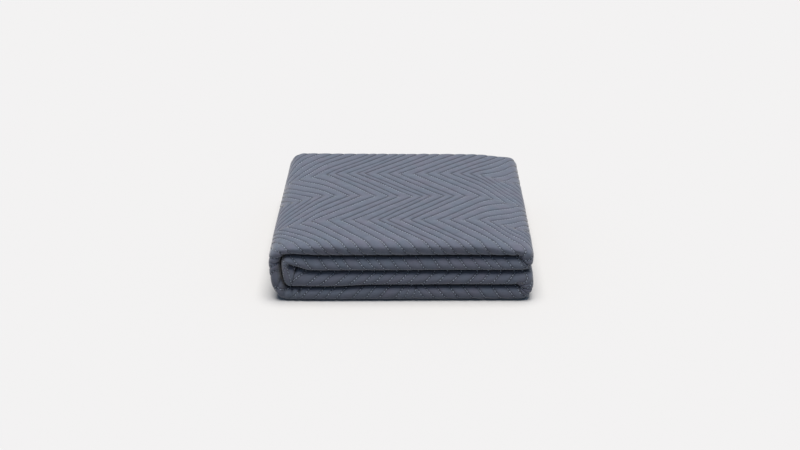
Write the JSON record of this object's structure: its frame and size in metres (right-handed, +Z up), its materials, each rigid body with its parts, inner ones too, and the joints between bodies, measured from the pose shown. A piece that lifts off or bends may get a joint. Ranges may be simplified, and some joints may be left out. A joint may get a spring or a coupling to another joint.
{
  "type": "folded quilted moving blanket",
  "caption": "Quilted moving blanket folded flat for storage: a four-ply strip folded in four layers, with raised zigzag seams and closed front folds.",
  "frame": {"origin": "on the floor, under the middle of the folded blanket", "axes": "+X along the strip, to the right; -Y is the front with the closed folds; +Z up"},
  "size_m": [0.525, 0.46, 0.1308],
  "materials": {
    "quilted_cloth": "matte woven slate blue cloth with paler thread"
  },
  "bodies": {
    "root": {"blanket": "quilted_cloth"}
  },
  "joints": []
}
